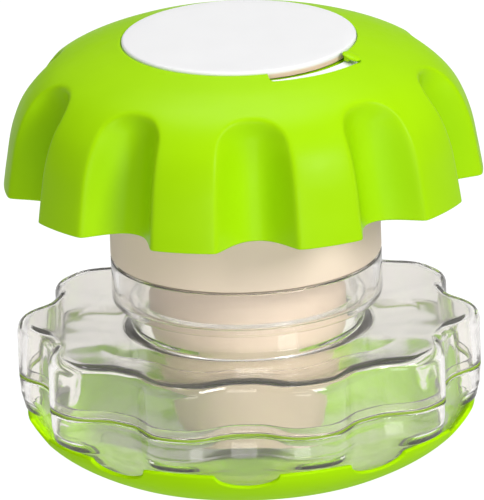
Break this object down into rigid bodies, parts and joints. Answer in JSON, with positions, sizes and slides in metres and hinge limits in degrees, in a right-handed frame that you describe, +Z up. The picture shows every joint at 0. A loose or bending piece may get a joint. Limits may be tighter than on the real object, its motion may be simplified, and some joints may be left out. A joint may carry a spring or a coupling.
{
  "type": "wasp trap",
  "caption": "Table-top wasp trap: fluted domed roof over an entrance tube with a turning shutter, on a clear fluted bowl standing in a round cup.",
  "frame": {"origin": "centre of the cup's flat bottom", "axes": "+Z up along the trap's axis, -Y the front shown to the viewer, +X to the viewer's right"},
  "size_m": [0.1554, 0.1538, 0.1413],
  "materials": {
    "lime_plastic": "satin moulded lime green",
    "clear_plastic": "polished clear",
    "cream_plastic": "satin moulded cream",
    "white_plastic": "fine matte white",
    "seal_rubber": "matte soft seal",
    "lime_rubber": "translucent soft lime seal",
    "screw_steel": "plated steel"
  },
  "bodies": {
    "base": {"base_cup": "lime_plastic", "lower_tray": "clear_plastic", "seam_seal": "lime_rubber"},
    "bowl": {"upper_bowl": "clear_plastic", "collar_seal": "seal_rubber"},
    "head": {"entrance_tube": "cream_plastic", "funnel": "cream_plastic", "roof_dome": "lime_plastic", "dome_screw_1": "screw_steel", "dome_screw_2": "screw_steel", "dome_screw_3": "screw_steel", "top_disc": "white_plastic"},
    "rotor": {"shutter": "white_plastic", "shutter_knob": "lime_plastic"}
  },
  "joints": [
    {"name": "bowl_lift", "type": "slide", "parent": "base", "child": "bowl", "axis": [0, 0, 1], "range_m": [0, 0.05]},
    {"name": "head_lift", "type": "slide", "parent": "bowl", "child": "head", "axis": [0, 0, 1], "range_m": [0, 0.07]},
    {"name": "knob_turn", "type": "hinge", "parent": "head", "child": "rotor", "pos_m": [0, 0, 0.1335], "axis": [0, 0, 1], "range_deg": [-40, 0]}
  ]
}
